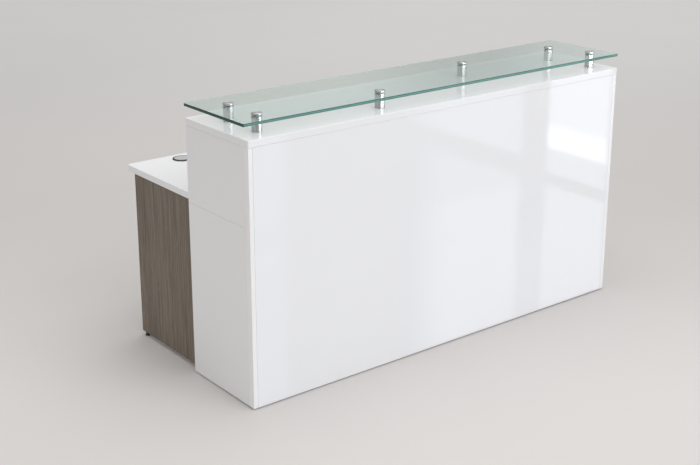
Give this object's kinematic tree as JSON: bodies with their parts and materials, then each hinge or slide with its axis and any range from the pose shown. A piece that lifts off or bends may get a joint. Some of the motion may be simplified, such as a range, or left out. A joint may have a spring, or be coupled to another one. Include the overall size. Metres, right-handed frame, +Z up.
{
  "type": "reception desk",
  "caption": "Reception desk with a tall white gloss counter box, a clear glass shelf on chrome standoffs over it, and a lower desk with wood-grain gables behind it.",
  "frame": {"origin": "floor level, under the middle of the overall box", "axes": "+X along the counter to the visitor's right, +Y towards the staff side, +Z up"},
  "size_m": [2.02, 0.955, 1.1408],
  "materials": {
    "white_gloss": "board with a white high-gloss face",
    "white_satin": "board with a white satin face",
    "wood_grain": "board with a matt taupe wood-grain face",
    "glass": "clear, with polished green edges",
    "chrome": "polished",
    "clear_rubber": "soft and translucent",
    "black_plastic": "moulded, fine grain",
    "grey_plastic": "moulded, satin",
    "zinc_steel": "zinc plated"
  },
  "bodies": {
    "desk": {"counter_top": "white_gloss", "front_panel": "white_gloss", "desktop": "white_gloss", "left_end_panel_lower": "white_gloss", "left_end_panel_upper": "white_gloss", "right_end_panel_lower": "white_gloss", "right_end_panel_upper": "white_gloss", "counter_divider": "white_satin", "left_corner_post": "white_satin", "right_corner_post": "white_satin", "modesty_panel": "wood_grain", "left_gable": "wood_grain", "right_gable": "wood_grain", "glass_top": "glass", "front_left_standoff_barrel": "chrome", "front_left_standoff_cap": "chrome", "front_left_standoff_lower_gasket": "clear_rubber", "front_left_standoff_upper_gasket": "clear_rubber", "front_middle_standoff_barrel": "chrome", "front_middle_standoff_cap": "chrome", "front_middle_standoff_lower_gasket": "clear_rubber", "front_middle_standoff_upper_gasket": "clear_rubber", "front_right_standoff_barrel": "chrome", "front_right_standoff_cap": "chrome", "front_right_standoff_lower_gasket": "clear_rubber", "front_right_standoff_upper_gasket": "clear_rubber", "back_left_standoff_barrel": "chrome", "back_left_standoff_cap": "chrome", "back_left_standoff_lower_gasket": "clear_rubber", "back_left_standoff_upper_gasket": "clear_rubber", "back_middle_standoff_barrel": "chrome", "back_middle_standoff_cap": "chrome", "back_middle_standoff_lower_gasket": "clear_rubber", "back_middle_standoff_upper_gasket": "clear_rubber", "back_right_standoff_barrel": "chrome", "back_right_standoff_cap": "chrome", "back_right_standoff_lower_gasket": "clear_rubber", "back_right_standoff_upper_gasket": "clear_rubber", "left_grommet_liner": "black_plastic", "left_front_desktop_bracket": "zinc_steel", "left_back_desktop_bracket": "zinc_steel", "left_counter_bracket": "zinc_steel", "right_grommet_liner": "black_plastic", "right_front_desktop_bracket": "zinc_steel", "right_back_desktop_bracket": "zinc_steel", "right_counter_bracket": "zinc_steel", "left_front_foot_insert": "zinc_steel", "left_middle_foot_insert": "zinc_steel", "left_back_foot_insert": "zinc_steel", "right_front_foot_insert": "zinc_steel", "right_middle_foot_insert": "zinc_steel", "right_back_foot_insert": "zinc_steel"},
    "left_front_foot": {"left_front_foot": "black_plastic"},
    "left_middle_foot": {"left_middle_foot": "black_plastic"},
    "left_back_foot": {"left_back_foot": "black_plastic"},
    "right_front_foot": {"right_front_foot": "black_plastic"},
    "right_middle_foot": {"right_middle_foot": "black_plastic"},
    "right_back_foot": {"right_back_foot": "black_plastic"},
    "left_grommet_cap": {"left_grommet_cap": "grey_plastic"},
    "right_grommet_cap": {"right_grommet_cap": "grey_plastic"}
  },
  "joints": [
    {"name": "left_front_foot_level", "type": "slide", "parent": "desk", "child": "left_front_foot", "axis": [0, 0, -1], "range_m": [0, 0.012]},
    {"name": "left_middle_foot_level", "type": "slide", "parent": "desk", "child": "left_middle_foot", "axis": [0, 0, -1], "range_m": [0, 0.012]},
    {"name": "left_back_foot_level", "type": "slide", "parent": "desk", "child": "left_back_foot", "axis": [0, 0, -1], "range_m": [0, 0.012]},
    {"name": "right_front_foot_level", "type": "slide", "parent": "desk", "child": "right_front_foot", "axis": [0, 0, -1], "range_m": [0, 0.012]},
    {"name": "right_middle_foot_level", "type": "slide", "parent": "desk", "child": "right_middle_foot", "axis": [0, 0, -1], "range_m": [0, 0.012]},
    {"name": "right_back_foot_level", "type": "slide", "parent": "desk", "child": "right_back_foot", "axis": [0, 0, -1], "range_m": [0, 0.012]},
    {"name": "left_grommet_cap_lift", "type": "slide", "parent": "desk", "child": "left_grommet_cap", "axis": [0, 0, 1], "range_m": [0, 0.05]},
    {"name": "right_grommet_cap_lift", "type": "slide", "parent": "desk", "child": "right_grommet_cap", "axis": [0, 0, 1], "range_m": [0, 0.05]}
  ]
}
